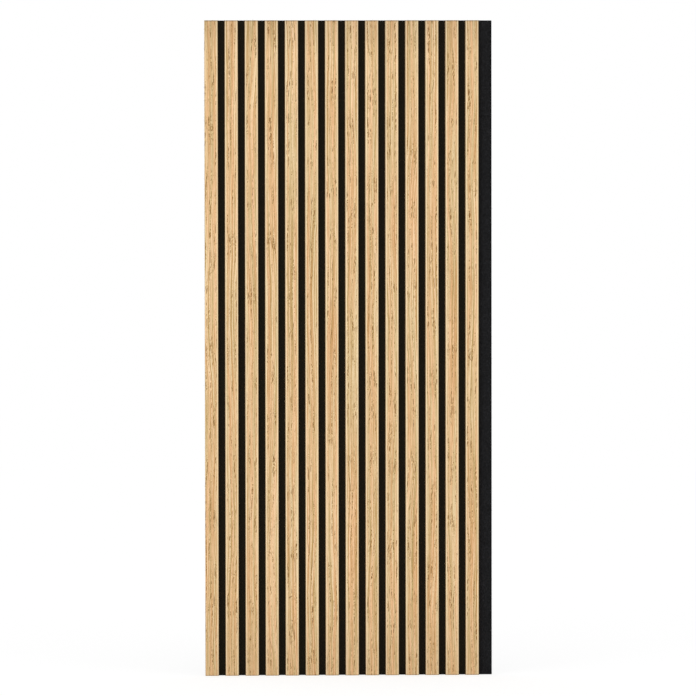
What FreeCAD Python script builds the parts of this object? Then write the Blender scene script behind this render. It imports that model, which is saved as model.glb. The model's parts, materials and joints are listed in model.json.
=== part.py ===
import FreeCAD, Part
import math
import os
import Sketcher

# Acoustic slat wall panel.
#
# Upright slats stand side by side on a black felt board, with bare felt between them. Each slat is a fibreboard
# core whose face and sides are wrapped in one strip of oak veneer. A row of staples goes through the back of the
# felt into each core and holds the slat on. Past the last slat the felt runs on as a bare margin, against which
# the next panel is hung.
#
# X runs across the panel, Y into the wall and Z up. The origin is on the back of the felt, which lies against the
# wall, at the middle of its bottom edge. Lengths are in millimetres.

SHEET = "Sizes"
SIZES = [
    ("panel_length", 1308, "slats and felt, from bottom to top"),
    ("slat_count", 14, "slats side by side"),
    ("slat_width", 27, "over the veneer"),
    ("slat_gap", 13, "bare felt between two slats"),
    ("slat_depth", 12, "from the felt to the face of the veneer"),
    ("felt_thickness", 9, "felt board"),
    ("felt_margin", 25, "bare felt past the last slat"),
    ("veneer_thickness", 0.6, "oak wrap on the face and sides"),
    ("core_arris", 0.8, "radius of the core's front corners, inside the wrap"),
    ("staple_rows", 6, "staples in each slat"),
    ("staple_inset", 54, "first and last staple, from the ends of the slat"),
    ("staple_crown", 12.8, "outside width of a staple"),
    ("staple_leg", 15, "from the back of the crown to the points"),
    ("staple_point", 1.5, "length of the chisel point"),
    ("wire_width", 0.95, "staple wire, along the slat"),
    ("wire_depth", 0.65, "staple wire, across its bends"),
    ("wire_bend", 0.4, "blunting of the outside of each bend, along the crown and down the leg"),
    ("wire_clearance", 0.02, "between the wire and the hole that it made"),
    ("crown_sink", 0.8, "crown below the back of the felt"),
]

# What follows from those sizes, as expressions on the sheet. In every section X runs across the slat, and Y runs
# from the room, which is negative, to the wall.
PITCH = "(Sizes.slat_width + Sizes.slat_gap)"
PANEL_WIDTH = f"(Sizes.slat_count * {PITCH} - Sizes.slat_gap + Sizes.felt_margin)"
FIRST_SLAT = f"(Sizes.slat_width / 2 - {PANEL_WIDTH} / 2)"
FELT_FRONT = "(-Sizes.felt_thickness)"

SLAT_HALF = "(Sizes.slat_width / 2)"
SLAT_FACE = "(-Sizes.slat_depth)"
SLAT_ARRIS = "(Sizes.core_arris + Sizes.veneer_thickness)"
CORE_HALF = "(Sizes.slat_width / 2 - Sizes.veneer_thickness)"
CORE_FACE = "(-Sizes.slat_depth + Sizes.veneer_thickness)"
CORE_ARRIS = "Sizes.core_arris"

STAPLE_SPAN = "(Sizes.panel_length - 2 * Sizes.staple_inset)"
LEG_OUTSIDE = "(Sizes.staple_crown / 2)"
LEG_INSIDE = f"({LEG_OUTSIDE} - Sizes.wire_depth)"
CROWN_BACK = "(-Sizes.crown_sink)"
CROWN_FRONT = "(-Sizes.crown_sink - Sizes.wire_depth)"
CROWN_END = f"({LEG_OUTSIDE} - Sizes.wire_bend)"
LEG_TOP = "(-Sizes.crown_sink - Sizes.wire_bend)"
LEG_POINT = "(-Sizes.crown_sink - Sizes.staple_leg)"
LEG_SHOULDER = f"({LEG_POINT} + Sizes.staple_point)"

HOLE_OUTSIDE = f"({LEG_OUTSIDE} + Sizes.wire_clearance)"
HOLE_INSIDE = f"({LEG_INSIDE} - Sizes.wire_clearance)"
HOLE_WIDTH = "(Sizes.wire_width + 2 * Sizes.wire_clearance)"
HOLE_BOTTOM = f"({LEG_POINT} + Sizes.felt_thickness - Sizes.wire_clearance)"
# How far a cut runs past the face that it breaks through.
OVERCUT = "1"


def minus(expression):
    """The same length on the other side of the origin."""
    return f"(-{expression})"


def fill_sheet(doc):
    """Puts every driving size on the sheet, as a plain number with an alias and a note."""
    sheet = doc.addObject("Spreadsheet::Sheet", SHEET)
    for row, (alias, value, note) in enumerate(SIZES, start=1):
        sheet.set(f"A{row}", alias)
        sheet.set(f"B{row}", str(value))
        sheet.set(f"C{row}", note)
        sheet.setAlias(f"B{row}", alias)
    doc.recompute()
    return sheet


def new_body(doc, label):
    """An empty body whose label names its file. It may hold several separate solids."""
    body = doc.addObject("PartDesign::Body", label)
    body.Label = label
    body.AllowCompound = True
    return body


def new_slat_body(doc, number, piece, back):
    """An empty body for one piece of slat 1, 2, ..., on the slat's centre line, with its Y counted from back."""
    body = new_body(doc, f"slat_{number:02d}_{piece}")
    body.setExpression("Placement.Base.x", f"{FIRST_SLAT} + {number - 1} * {PITCH}")
    body.setExpression("Placement.Base.y", back)
    return body


def origin_feature(body, role):
    """The body's own plane or axis with that role, such as XY_Plane."""
    return next(feature for feature in body.Origin.OriginFeatures if feature.Role == role)


def new_section(body, name, height=None):
    """An empty sketch square to the slats, at the bottom of the panel or at a height above it."""
    sketch = body.newObject("Sketcher::SketchObject", f"{body.Name}_{name}")
    sketch.AttachmentSupport = [(origin_feature(body, "XY_Plane"), "")]
    sketch.MapMode = "FlatFace"
    if height:
        sketch.setExpression("AttachmentOffset.Base.z", height)
    return sketch


def outline_points(sketch, corners):
    """The points of an outline in order, a rounded corner given by the two points where its arc meets the edges.

    Each point is (x, y, radius), where radius is that of the arc to the next point, or None for a straight edge.
    """
    places = [[float(sketch.evalExpression(length)) for length in corner[:2]] for corner in corners]
    points = []
    for i, (x, y, *radius) in enumerate(corners):
        if not radius:
            points.append((x, y, None))
            continue
        for neighbour, arc in ((i - 1, radius[0]), ((i + 1) % len(corners), None)):
            across, along = [(b > a) - (b < a) for a, b in zip(places[i], places[neighbour])]
            points.append((f"{x} + {across} * {radius[0]}", f"{y} + {along} * {radius[0]}", arc))
    return points


def add_edge(sketch, before, start, end, is_arc):
    """Adds the edge from start to end, and returns which of its two ends comes first and which last.

    The place before the start tells which way an arc sets off. A sketch keeps its arcs anticlockwise.
    """
    if not is_arc:
        sketch.addGeometry(Part.LineSegment(start, end), False)
        return 1, 2
    sets_off_along_y = abs(before.x - start.x) < abs(before.y - start.y)
    centre = FreeCAD.Vector(end.x, start.y, 0) if sets_off_along_y else FreeCAD.Vector(start.x, end.y, 0)
    angles = [math.atan2(place.y - centre.y, place.x - centre.x) for place in (start, end)]
    clockwise = math.sin(angles[1] - angles[0]) < 0
    circle = Part.Circle(centre, FreeCAD.Vector(0, 0, 1), (start - centre).Length)
    sketch.addGeometry(Part.ArcOfCircle(circle, *(reversed(angles) if clockwise else angles)), False)
    return (2, 1) if clockwise else (1, 2)


def tie(sketch, kind, expression, *where):
    """Adds a dimension and binds it to an expression on the sheet."""
    value = float(sketch.evalExpression(expression))
    number = sketch.addConstraint(Sketcher.Constraint(kind, *where, value))
    sketch.setExpression(f"Constraints[{number}]", expression)


def tie_point(sketch, edge, end, x, y):
    """Ties one end of an edge to its place in the section, or to the axis that it lies on."""
    for kind, expression, axis in (("DistanceX", x, -2), ("DistanceY", y, -1)):
        if expression == "0":
            sketch.addConstraint(Sketcher.Constraint("PointOnObject", edge, end, axis))
        else:
            tie(sketch, kind, expression, -1, 1, edge, end)


def draw_outline(sketch, corners):
    """Draws one closed outline through square corners and ties all of it to the sheet.

    Each corner is (x, y), or (x, y, radius) where it is rounded, and all three are expressions.
    """
    points = outline_points(sketch, corners)
    places = [FreeCAD.Vector(*[float(sketch.evalExpression(length)) for length in point[:2]]) for point in points]
    first = sketch.GeometryCount
    following = [(i + 1) % len(points) for i in range(len(points))]
    ends = []
    for i, (x, y, radius) in enumerate(points):
        ends.append(add_edge(sketch, places[i - 1], places[i], places[following[i]], radius is not None))
    for i, (x, y, radius) in enumerate(points):
        meeting = (first + i, ends[i][1], first + following[i], ends[following[i]][0])
        sketch.addConstraint(Sketcher.Constraint("Coincident", *meeting))
    for i, (x, y, radius) in enumerate(points):
        tie_point(sketch, first + i, ends[i][0], x, y)
        if radius is not None:
            tie(sketch, "Radius", radius, first + i)


def pad_from_bottom(body, section):
    """Runs a section the whole length of the panel."""
    pad = body.newObject("PartDesign::Pad", f"{body.Name}_pad")
    pad.Profile = section
    pad.setExpression("Length", "Sizes.panel_length")
    return pad


def pad_both_ways(body, section, length):
    """Gives a section its length, half of it above and half below."""
    pad = body.newObject("PartDesign::Pad", f"{body.Name}_pad")
    pad.Profile = section
    pad.SideType = "Symmetric"
    pad.setExpression("Length", length)
    return pad


def cut_both_ways(body, section, length):
    """Cuts a section out of the body, half of its length above and half below."""
    pocket = body.newObject("PartDesign::Pocket", f"{body.Name}_pocket")
    pocket.Profile = section
    pocket.SideType = "Symmetric"
    pocket.setExpression("Length", length)
    return pocket


def repeat_in_rows(body, feature):
    """Repeats the feature for the lowest row of staples in every row above it."""
    pattern = body.newObject("PartDesign::LinearPattern", f"{body.Name}_rows")
    pattern.Originals = [feature]
    pattern.Direction = (origin_feature(body, "Z_Axis"), [""])
    pattern.setExpression("Length", STAPLE_SPAN)
    pattern.setExpression("Occurrences", "Sizes.staple_rows")
    body.Tip = pattern
    return pattern


def repeat_across_slats(body, pattern):
    """Repeats the rows on every slat's centre line as well."""
    pattern.Direction2 = (origin_feature(body, "X_Axis"), [""])
    pattern.setExpression("Length2", f"(Sizes.slat_count - 1) * {PITCH}")
    pattern.setExpression("Occurrences2", "Sizes.slat_count")


def make_felt(doc):
    """The felt board, with a slot for every staple: a channel for its sunk crown, and through it both legs."""
    body = new_body(doc, "felt_backing")
    board = new_section(body, "section")
    left, right = minus(f"({PANEL_WIDTH} / 2)"), f"({PANEL_WIDTH} / 2)"
    draw_outline(board, [(left, "0"), (right, "0"), (right, FELT_FRONT), (left, FELT_FRONT)])
    pad_from_bottom(body, board)

    slot = new_section(body, "slot_section", "Sizes.staple_inset")
    past_front = f"({FELT_FRONT} - {OVERCUT})"
    draw_outline(
        slot,
        [
            (f"{FIRST_SLAT} - {HOLE_OUTSIDE}", OVERCUT),
            (f"{FIRST_SLAT} + {HOLE_OUTSIDE}", OVERCUT),
            (f"{FIRST_SLAT} + {HOLE_OUTSIDE}", past_front),
            (f"{FIRST_SLAT} + {HOLE_INSIDE}", past_front),
            (f"{FIRST_SLAT} + {HOLE_INSIDE}", CROWN_FRONT),
            (f"{FIRST_SLAT} - {HOLE_INSIDE}", CROWN_FRONT),
            (f"{FIRST_SLAT} - {HOLE_INSIDE}", past_front),
            (f"{FIRST_SLAT} - {HOLE_OUTSIDE}", past_front),
        ],
    )
    rows = repeat_in_rows(body, cut_both_ways(body, slot, HOLE_WIDTH))
    repeat_across_slats(body, rows)
    return body


def make_core(doc, number):
    """A slat's fibreboard core, rounded at its front corners, with two blind holes for each staple's legs."""
    body = new_slat_body(doc, number, "core", FELT_FRONT)
    section = new_section(body, "section")
    draw_outline(
        section,
        [
            (minus(CORE_HALF), "0"),
            (CORE_HALF, "0"),
            (CORE_HALF, CORE_FACE, CORE_ARRIS),
            (minus(CORE_HALF), CORE_FACE, CORE_ARRIS),
        ],
    )
    pad_from_bottom(body, section)

    holes = new_section(body, "hole_section", "Sizes.staple_inset")
    for outside, inside in ((HOLE_OUTSIDE, HOLE_INSIDE), (minus(HOLE_OUTSIDE), minus(HOLE_INSIDE))):
        draw_outline(
            holes,
            [(inside, OVERCUT), (outside, OVERCUT), (outside, HOLE_BOTTOM), (inside, HOLE_BOTTOM)],
        )
    repeat_in_rows(body, cut_both_ways(body, holes, HOLE_WIDTH))
    return body


def make_veneer(doc, number):
    """A slat's veneer, one strip wrapped round the core's face and both of its sides."""
    body = new_slat_body(doc, number, "veneer", FELT_FRONT)
    section = new_section(body, "section")
    draw_outline(
        section,
        [
            (minus(SLAT_HALF), "0"),
            (minus(CORE_HALF), "0"),
            (minus(CORE_HALF), CORE_FACE, CORE_ARRIS),
            (CORE_HALF, CORE_FACE, CORE_ARRIS),
            (CORE_HALF, "0"),
            (SLAT_HALF, "0"),
            (SLAT_HALF, SLAT_FACE, SLAT_ARRIS),
            (minus(SLAT_HALF), SLAT_FACE, SLAT_ARRIS),
        ],
    )
    pad_from_bottom(body, section)
    return body


def make_staples(doc, number):
    """A slat's staples, separate wires with a flat crown, blunted bends and legs cut to chisel points."""
    body = new_slat_body(doc, number, "staples", "0")
    section = new_section(body, "section", "Sizes.staple_inset")
    draw_outline(
        section,
        [
            (minus(CROWN_END), CROWN_BACK),
            (CROWN_END, CROWN_BACK),
            (LEG_OUTSIDE, LEG_TOP),
            (LEG_OUTSIDE, LEG_POINT),
            (LEG_INSIDE, LEG_SHOULDER),
            (LEG_INSIDE, CROWN_FRONT),
            (minus(LEG_INSIDE), CROWN_FRONT),
            (minus(LEG_INSIDE), LEG_SHOULDER),
            (minus(LEG_OUTSIDE), LEG_POINT),
            (minus(LEG_OUTSIDE), LEG_TOP),
        ],
    )
    repeat_in_rows(body, pad_both_ways(body, section, "Sizes.wire_width"))
    return body


def check(doc, bodies):
    """Stops, naming what failed, if a feature has an error, a sketch is loose or a body's shape is unsound."""
    failed = [item.Name for item in doc.Objects if {"Invalid", "Error"} & set(item.State)]
    sketches = [item for item in doc.Objects if item.TypeId == "Sketcher::SketchObject"]
    loose = [sketch.Name for sketch in sketches if not sketch.FullyConstrained]
    unsound = [body.Label for body in bodies if body.Shape.isNull() or not body.Shape.isValid()]
    if failed or loose or unsound:
        raise RuntimeError(f"failed: {failed}, loose sketches: {loose}, unsound shapes: {unsound}")


def export(body):
    """Writes a body to its own file and prints its solids, volume and extent."""
    body.Shape.exportStep(os.path.join("parts", f"{body.Label}.step"))
    box = body.Shape.BoundBox
    print(
        f"{body.Label}: solids {len(body.Shape.Solids)}, volume {body.Shape.Volume:.1f}, "
        f"x {box.XMin:.2f} to {box.XMax:.2f}, y {box.YMin:.2f} to {box.YMax:.2f}, "
        f"z {box.ZMin:.2f} to {box.ZMax:.2f}"
    )


def main():
    """Builds the felt and every slat, checks them and writes each piece to its file."""
    doc = FreeCAD.newDocument("SlatPanel")
    sheet = fill_sheet(doc)
    bodies = [make_felt(doc)]
    for number in range(1, int(sheet.slat_count) + 1):
        bodies += [make_core(doc, number), make_veneer(doc, number), make_staples(doc, number)]
    doc.recompute()
    check(doc, bodies)
    os.makedirs("parts", exist_ok=True)
    for body in bodies:
        export(body)


main()
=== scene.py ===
"""An acoustic slat wall panel: fourteen oak-veneered slats on a black felt board.

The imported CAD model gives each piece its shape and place. This script gives each piece its
finish, models the felt board afresh with the loose fibres that stand out of it, and sets the
panel up in a plain studio as the photograph shows it. All sizes are in millimetres unless a name
or a comment says otherwise.
"""

import json
import logging
import math
from dataclasses import dataclass, field, replace
from enum import Enum
from functools import reduce
from typing import Sequence

import bpy
import numpy as np
from mathutils import Matrix, Vector

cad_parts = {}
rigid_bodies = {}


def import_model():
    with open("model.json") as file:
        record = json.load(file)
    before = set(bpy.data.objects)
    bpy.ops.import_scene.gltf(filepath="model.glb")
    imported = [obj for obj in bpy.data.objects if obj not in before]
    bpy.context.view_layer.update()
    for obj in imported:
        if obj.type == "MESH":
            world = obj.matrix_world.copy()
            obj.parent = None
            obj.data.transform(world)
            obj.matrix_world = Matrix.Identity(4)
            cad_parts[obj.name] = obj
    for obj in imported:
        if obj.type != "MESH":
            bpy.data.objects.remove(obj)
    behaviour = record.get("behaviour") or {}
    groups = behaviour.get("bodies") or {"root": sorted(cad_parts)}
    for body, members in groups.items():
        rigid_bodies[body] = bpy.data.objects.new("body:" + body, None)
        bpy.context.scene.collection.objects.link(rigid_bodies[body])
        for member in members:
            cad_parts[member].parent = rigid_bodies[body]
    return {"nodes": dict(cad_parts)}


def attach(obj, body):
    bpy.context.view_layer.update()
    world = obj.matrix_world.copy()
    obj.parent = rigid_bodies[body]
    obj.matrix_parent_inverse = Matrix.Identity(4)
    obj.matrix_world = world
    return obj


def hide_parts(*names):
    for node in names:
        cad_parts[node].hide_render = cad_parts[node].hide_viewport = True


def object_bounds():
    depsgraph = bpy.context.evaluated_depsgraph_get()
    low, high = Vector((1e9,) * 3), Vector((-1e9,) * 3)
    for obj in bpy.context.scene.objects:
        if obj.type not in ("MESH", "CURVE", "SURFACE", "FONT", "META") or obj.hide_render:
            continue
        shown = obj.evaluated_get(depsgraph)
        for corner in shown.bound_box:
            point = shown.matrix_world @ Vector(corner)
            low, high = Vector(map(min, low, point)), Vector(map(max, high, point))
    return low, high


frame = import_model()
CAD_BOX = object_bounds()

LOG = logging.getLogger("slat_panel")

Material = bpy.types.Material
Piece = bpy.types.Object
Socket = bpy.types.NodeSocket
Feed = float | Socket
Pair = tuple[float, float]
Triple = tuple[float, float, float]

METRE = 1000  # millimetres
WHITE_STEP = 255  # the brightest step of a tone


@dataclass(frozen=True)
class Tone:
    """A colour as the eye reads it: red, green and blue, in steps of 0 to 255."""

    red: float
    green: float
    blue: float

    def linear(self) -> tuple[float, ...]:
        """The colour as light, by the usual curve of a screen, with an alpha of 1."""
        shares = (step / WHITE_STEP for step in (self.red, self.green, self.blue))
        return *(c / 12.92 if c <= 0.04045 else ((c + 0.055) / 1.055) ** 2.4 for c in shares), 1.0


Colour = Tone | Socket
WHITE = Tone(WHITE_STEP, WHITE_STEP, WHITE_STEP)


@dataclass(frozen=True)
class Layer:
    """One layer of soft random variation."""

    wide: float  # how far apart its lumps are along the first axis
    long: float  # the same along the second axis
    deep: float = 0.0  # the same along the third, or 0 to leave that axis out
    detail: float = 1.0  # how many finer layers it has
    roughness: float = 0.5  # how strong those are
    shift: float = 0.0  # moves it, so that two layers differ
    strength: float = 0.0  # how far it swings to each side of 0, or 0 to leave it from 0 to 1


SHIFT_STEP = (13.7, 7.3, 3.1)  # how far a shift of 1 moves a layer along each axis


@dataclass(frozen=True)
class Ramp:
    """A soft step from one number to another."""

    low: float  # where it starts, which may be above high
    high: float  # where it ends
    before: float = 0.0  # the number up to low
    after: float = 1.0  # the number past high


class Recipe:
    """The node tree of one material or world, built a step at a time."""

    def __init__(self, owner: Material | bpy.types.World) -> None:
        """Empties the tree.

        Args:
            owner: the material or world that the tree belongs to.
        """
        owner.use_nodes = True
        self.owner = owner
        self.tree = owner.node_tree
        self.tree.nodes.clear()

    def node(
        self, kind: str, inputs: dict[str | int, object], **settings: object
    ) -> bpy.types.Node:
        """Adds a node.

        Args:
            kind: the node's type, without the word ShaderNode.
            inputs: what its inputs are linked or set to, by their names or numbers.
            settings: the node's own properties.

        Returns:
            The node.
        """
        made = self.tree.nodes.new("ShaderNode" + kind)
        for key, value in settings.items():
            setattr(made, key, value)
        for key, value in inputs.items():
            if isinstance(value, Socket):
                self.tree.links.new(value, made.inputs[key])
            else:
                plain = value.linear() if isinstance(value, Tone) else value
                made.inputs[key].default_value = plain
        return made

    def sum_of(self, operation: str, *terms: Feed) -> Socket:
        """One step of arithmetic on one to three terms, named as a Math node names it."""
        return self.node("Math", dict(enumerate(terms)), operation=operation).outputs[0]

    def plus(self, *terms: Feed) -> Socket:
        """All the terms added up."""
        return reduce(lambda first, second: self.sum_of("ADD", first, second), terms)

    def times(self, *terms: Feed) -> Socket:
        """All the terms multiplied."""
        return reduce(lambda first, second: self.sum_of("MULTIPLY", first, second), terms)

    def place_mm(self) -> Socket:
        """The place on the object, in millimetres."""
        inputs = {"Vector": self.node("TexCoord", {}).outputs["Object"], "Scale": (METRE,) * 3}
        return self.node("Mapping", inputs, vector_type="POINT").outputs[0]

    def parts(self, vector: Socket) -> Sequence[Socket]:
        """A vector's x, y and z."""
        return self.node("SeparateXYZ", {0: vector}).outputs

    def vector(self, x: Feed, y: Feed, z: Feed = 0.0) -> Socket:
        """The vector of three numbers."""
        return self.node("CombineXYZ", {0: x, 1: y, 2: z}).outputs[0]

    def fitted(
        self, vector: Socket, size: Triple, centre: Triple = (0.0, 0.0, 0.0), turn: float = 0.0
    ) -> Socket:
        """The point in the units of a pattern with that size and centre, turned about z."""
        inputs = {"Vector": vector, "Location": centre, "Rotation": (0.0, 0.0, turn), "Scale": size}
        return self.node("Mapping", inputs, vector_type="TEXTURE").outputs[0]

    def cloud(self, vector: Socket, layer: Layer) -> Socket:
        """Soft random variation.

        Args:
            vector: the point.
            layer: its size and fineness.

        Returns:
            A number from 0 to 1, or from -strength to strength where the layer has one.
        """
        kind = "3D" if layer.deep else "2D"
        away = tuple(layer.shift * step for step in SHIFT_STEP)
        point = self.fitted(vector, (layer.wide, layer.long, layer.deep or 1.0), away)
        inputs = {"Vector": point, "Scale": 1.0}
        inputs |= {"Detail": layer.detail, "Roughness": layer.roughness}
        made = self.node("TexNoise", inputs, noise_dimensions=kind).outputs[0]
        return self.level(made, -layer.strength, layer.strength) if layer.strength else made

    def cells(self, vector: Socket, size: Triple, kind: str = "2D") -> tuple[Socket, Socket]:
        """Scattered points.

        Args:
            vector: the point.
            size: how far apart they are along each axis.
            kind: 2D where they read only x and y, or 3D.

        Returns:
            The distance to the nearest, and a random number of its own from 0 to 1.
        """
        inputs = {"Vector": self.fitted(vector, size), "Scale": 1.0}
        made = self.node("TexVoronoi", inputs, voronoi_dimensions=kind)
        return made.outputs["Distance"], self.parts(made.outputs["Color"])[0]

    def step(self, value: Feed, ramp: Ramp) -> Socket:
        """A soft step.

        Args:
            value: what it follows.
            ramp: where it starts and ends.

        Returns:
            A number between the ramp's two.
        """
        (low, at_low), (high, at_high) = sorted([(ramp.low, ramp.before), (ramp.high, ramp.after)])
        inputs = dict(enumerate((value, low, high, at_low, at_high)))
        return self.node("MapRange", inputs, interpolation_type="SMOOTHSTEP", clamp=True).outputs[0]

    def steps(self, value: Feed, ramps: Sequence[Ramp]) -> Socket:
        """Soft steps that all follow one number, multiplied."""
        return self.times(*(self.step(value, ramp) for ramp in ramps))

    def level(self, value: Feed, low: float, high: float) -> Socket:
        """A number from 0 to 1, spread evenly over low to high."""
        return self.sum_of("MULTIPLY_ADD", value, high - low, low)

    def blend(self, amount: Feed, first: Colour, second: Colour, how: str = "MIX") -> Socket:
        """The first colour with an amount of the second mixed in."""
        inputs = {0: amount, 6: first, 7: second}
        return self.node("Mix", inputs, data_type="RGBA", blend_type=how).outputs[2]

    def shaded(self, colour: Socket, *shades: Socket) -> Socket:
        """A colour multiplied by each of the shades."""
        shade = self.times(*shades)
        return self.blend(1.0, colour, self.vector(shade, shade, shade), "MULTIPLY")

    def scale_of(self, value: Feed, places: Sequence[float], tones: Sequence[Tone]) -> Socket:
        """A scale of tones.

        Args:
            value: where on the scale, from 0 to 1.
            places: where each tone lies, in order.
            tones: the tones.

        Returns:
            The colour.
        """
        made = self.node("ValToRGB", {0: value})
        marks = made.color_ramp.elements
        while len(marks) < len(tones):
            marks.new(0.5)
        for mark, place, tone in zip(marks, places, tones):
            mark.position = place
            mark.color = tone.linear()
        return made.outputs[0]

    def bump(self, height: Socket, depth: float, strength: float) -> Socket:
        """The normal of a relief as deep as that where its height is 1."""
        inputs = {"Strength": strength, "Distance": depth / METRE, "Height": height}
        return self.node("Bump", inputs).outputs[0]

    def finish(self, **inputs: object) -> Material:
        """Ends the recipe in a plain surface shader.

        Args:
            inputs: the shader's inputs, with underscores for spaces.

        Returns:
            The material.
        """
        plain = {key.replace("_", " "): value for key, value in inputs.items()}
        shader = self.node("BsdfPrincipled", plain)
        self.node("OutputMaterial", {"Surface": shader.outputs[0]})
        return self.owner


class Cut(Enum):
    """How a slat's strip of veneer lay in the log: the heart's distance from the strip's middle,
    and how fast the log tapers through it."""

    QUARTER = (150.0, 0.01)
    RIFT = (52.0, 0.02)
    CROWN = (22.0, 0.022)
    HEART = (3.0, 0.028)


@dataclass(frozen=True)
class Mark:
    """One dark mark that stands out in the wood."""

    across: float  # its place from the slat's middle, to the right
    height: float  # its place above the panel's foot
    width: float  # how wide it is
    length: float  # how long it is
    lean: float = 0.0  # how far it leans from upright, in degrees to the right
    depth: float = 0.7  # how dark it is, from 0 to 1
    broken: bool = False  # whether it is a row of short flecks and not one mark


@dataclass(frozen=True)
class Figure:
    """The grain of one slat."""

    cut: Cut  # how its strip lay in the log
    seed: float  # picks its own piece of grain
    side: float = 1.0  # the side of the slat that the log's heart lay on, 1 or -1
    peak: float = 400.0  # the height of the arches, where it has them
    ring: float = 4.4  # how far apart its rings are
    flecks: float = 0.5  # how much of it the dark flecks take
    lean: float = 0.0  # how far the flecks lean from the grain, in degrees to the right
    marks: tuple[Mark, ...] = ()  # its own marks


ROW_WIDTH = 1.7  # how wide a row of short flecks is


def row(across: float, height: float, length: float, lean: float = 0.0, depth: float = 0.9) -> Mark:
    """A row of short flecks as long as that, its middle at that place."""
    return Mark(across, height, ROW_WIDTH, length, lean, depth, broken=True)


# the slats' grain from left to right, the marks about where the photograph shows them
FIGURES = (
    Figure(
        Cut.RIFT, seed=1.3, side=1, peak=300, ring=4.6, flecks=0.5, lean=1.0,
        marks=(Mark(4, 150, 2.0, 28, 2), Mark(4.5, 1194, 1.8, 26), row(-3, 820, 90, 1)),
    ),
    Figure(
        Cut.CROWN, seed=2.9, side=-1, peak=1010, ring=5.2, flecks=0.42, lean=2.5,
        marks=(row(-4, 1235, 80, -2), row(-1, 1100, 70, 4), Mark(-6.5, 501, 2, 7)),
    ),
    Figure(
        Cut.QUARTER, seed=3.7, side=1, peak=0, ring=4.0, flecks=0.36, lean=0.0,
        marks=(row(3, 950, 70, -3, 0.6), row(-4, 330, 90, 2, 0.6)),
    ),
    Figure(
        Cut.HEART, seed=4.1, side=1, peak=40, ring=4.6, flecks=0.38, lean=3.0,
        marks=(
            Mark(-2, 1231, 1.8, 15, 3), row(-6, 1055, 66, -4), Mark(8, 1190, 1.2, 260, -3, 0.35),
            row(1, 632, 56, -9), Mark(-7, 146, 1.8, 11, 15), Mark(8, 101, 1.8, 30, 8, 0.55),
            Mark(-2.5, 62, 1.5, 32, -12), Mark(-6.5, 72, 1.4, 15, 22, 0.6),
        ),
    ),
    Figure(
        Cut.RIFT, seed=5.6, side=-1, peak=160, ring=4.4, flecks=0.55, lean=5.0,
        marks=(
            row(-3, 1268, 48, 11), row(-5, 1172, 86, 7), row(2, 690, 70, 6),
            Mark(1, 368, 4.5, 24, 5, 0.4), Mark(6.5, 212, 3.6, 74, -4, 0.3),
            Mark(-4, 157, 3.6, 9.5, 55, 0.75), Mark(0, 110, 2.2, 5, -40, 0.8),
        ),
    ),
    Figure(
        Cut.CROWN, seed=6.2, side=-1, peak=430, ring=5.6, flecks=0.36, lean=-2.0,
        marks=(Mark(-0.5, 218, 1.7, 54, 6, 0.6), Mark(-6.5, 252, 1.6, 28, -8)),
    ),
    Figure(
        Cut.RIFT, seed=7.8, side=1, peak=300, ring=4.8, flecks=0.42, lean=1.0,
        marks=(Mark(-2, 744, 3.0, 34, 0, 0.35), row(4, 128, 70, 3)),
    ),
    Figure(
        Cut.QUARTER, seed=8.4, side=-1, peak=0, ring=3.8, flecks=0.48, lean=-1.0,
        marks=(Mark(5, 1225, 1.4, 120, 0, 0.4), row(-3, 1040, 60, 2)),
    ),
    Figure(
        Cut.CROWN, seed=9.9, side=1, peak=640, ring=4.8, flecks=0.55, lean=5.0,
        marks=(
            row(-5, 1190, 58, 10), row(0, 690, 38, 18), Mark(-4.5, 565, 1.9, 28, 15),
            Mark(-2, 432, 1.6, 22, 30), row(4, 262, 60, 8),
        ),
    ),
    Figure(
        Cut.RIFT, seed=10.5, side=1, peak=300, ring=4.2, flecks=0.52, lean=2.0,
        marks=(row(8, 1120, 80, 2), row(-4, 235, 60, 9), row(3, 90, 50, 9)),
    ),
    Figure(
        Cut.QUARTER, seed=11.1, side=1, peak=0, ring=4.4, flecks=0.42, lean=0.0,
        marks=(
            Mark(-8, 1262, 3.0, 20, -5, 0.4), Mark(2.5, 500, 2.6, 44, 0, 0.4),
            Mark(-7, 258, 1.6, 9, -15), row(-5, 300, 40, -4),
        ),
    ),
    Figure(
        Cut.CROWN, seed=12.7, side=-1, peak=820, ring=5.0, flecks=0.45, lean=-2.0,
        marks=(Mark(-5, 1177, 1.8, 12, 8), row(-1, 880, 70, 3)),
    ),
    Figure(
        Cut.RIFT, seed=13.3, side=-1, peak=200, ring=4.6, flecks=0.46, lean=2.0,
        marks=(row(9, 1112, 86, 2), Mark(2, 126, 2.0, 17), row(-5, 151, 44, -1)),
    ),
    Figure(
        Cut.CROWN, seed=14.8, side=1, peak=640, ring=5.4, flecks=0.46, lean=3.0,
        marks=(
            Mark(-4, 1085, 1.5, 64, 8, 0.5), Mark(6.5, 1210, 1.8, 14),
            Mark(-5, 634, 1.9, 17, -35, 0.8), Mark(-9, 684, 1.3, 84, -2, 0.45),
            Mark(-6.5, 131, 2.1, 8, 10), Mark(-4, 94, 1.9, 7), Mark(9.5, 38, 1.7, 9),
        ),
    ),
)


@dataclass(frozen=True)
class FleckSet:
    """Flecks of one size that lean one way."""

    lean: float  # how much further they lean than the slat's flecks do, in degrees
    apart: Triple  # how far apart they are, across, along and through
    width: float  # how much of that room one fleck takes
    rarer: float  # how much rarer they are than the slat's flecks


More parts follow.
